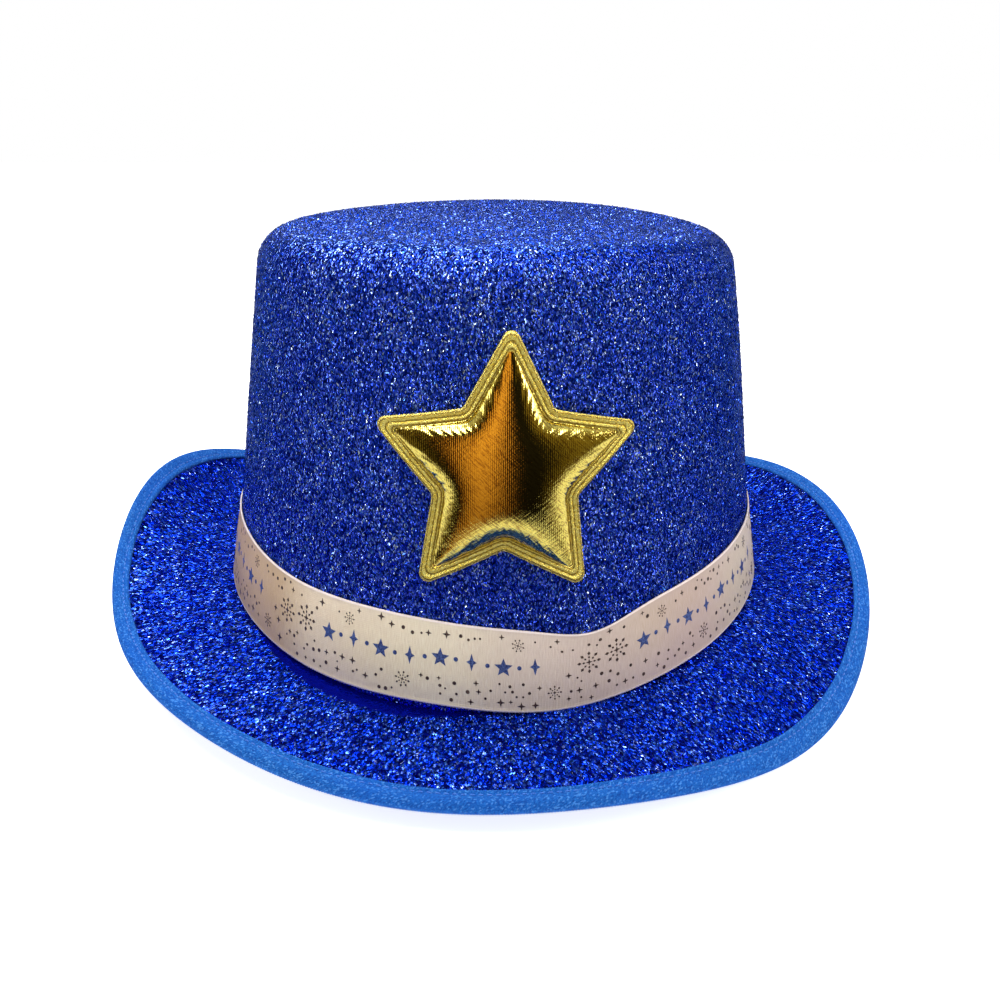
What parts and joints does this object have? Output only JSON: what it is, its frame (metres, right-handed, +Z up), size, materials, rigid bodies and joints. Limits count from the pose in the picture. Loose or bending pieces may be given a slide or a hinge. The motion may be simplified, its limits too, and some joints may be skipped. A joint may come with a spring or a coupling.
{
  "type": "party top hat",
  "caption": "Small glitter-cloth party top hat with a tapered crown, rolled bound brim, ribbon band and padded foil star.",
  "frame": {"origin": "centre of the hat's footprint, on the surface that the brim's lowest point rests on", "axes": "+X to the wearer's left, which is the viewer's right from the front; front with the star towards -Y; +Z up through the crown"},
  "size_m": [0.2476, 0.2736, 0.1287],
  "materials": {
    "glitter_cloth": "knitted cloth covered in blue metallic glitter threads",
    "foam": "thin moulded foam",
    "board": "stiff felted board",
    "lining_cloth": "plain non-woven lining",
    "binding_tape": "fine ribbed knitted tape",
    "blue_thread": "polyester sewing thread",
    "black_thread": "polyester sewing thread",
    "satin_ribbon": "champagne satin with a printed pattern of stars and dots",
    "sweatband_tape": "ribbed polyester tape",
    "gold_foil": "mirror-bright gold foil on cloth",
    "felt": "thin stiff felt",
    "glue": "hot-melt glue"
  },
  "bodies": {
    "root": {"crown_glitter_cloth": "glitter_cloth", "crown_foam_shell": "foam", "crown_lining": "lining_cloth", "brim_glitter_cloth": "glitter_cloth", "brim_board": "board", "brim_under_cloth": "glitter_cloth", "brim_binding": "binding_tape", "binding_thread": "blue_thread", "crown_seam_thread": "blue_thread", "hat_band_ribbon": "satin_ribbon", "ribbon_glue_dots": "glue", "sweatband": "sweatband_tape", "sweatband_thread": "black_thread", "star_foil_cover": "gold_foil", "star_foam_pad": "foam", "star_felt_backing": "felt", "star_glue_pad": "glue"}
  },
  "joints": []
}
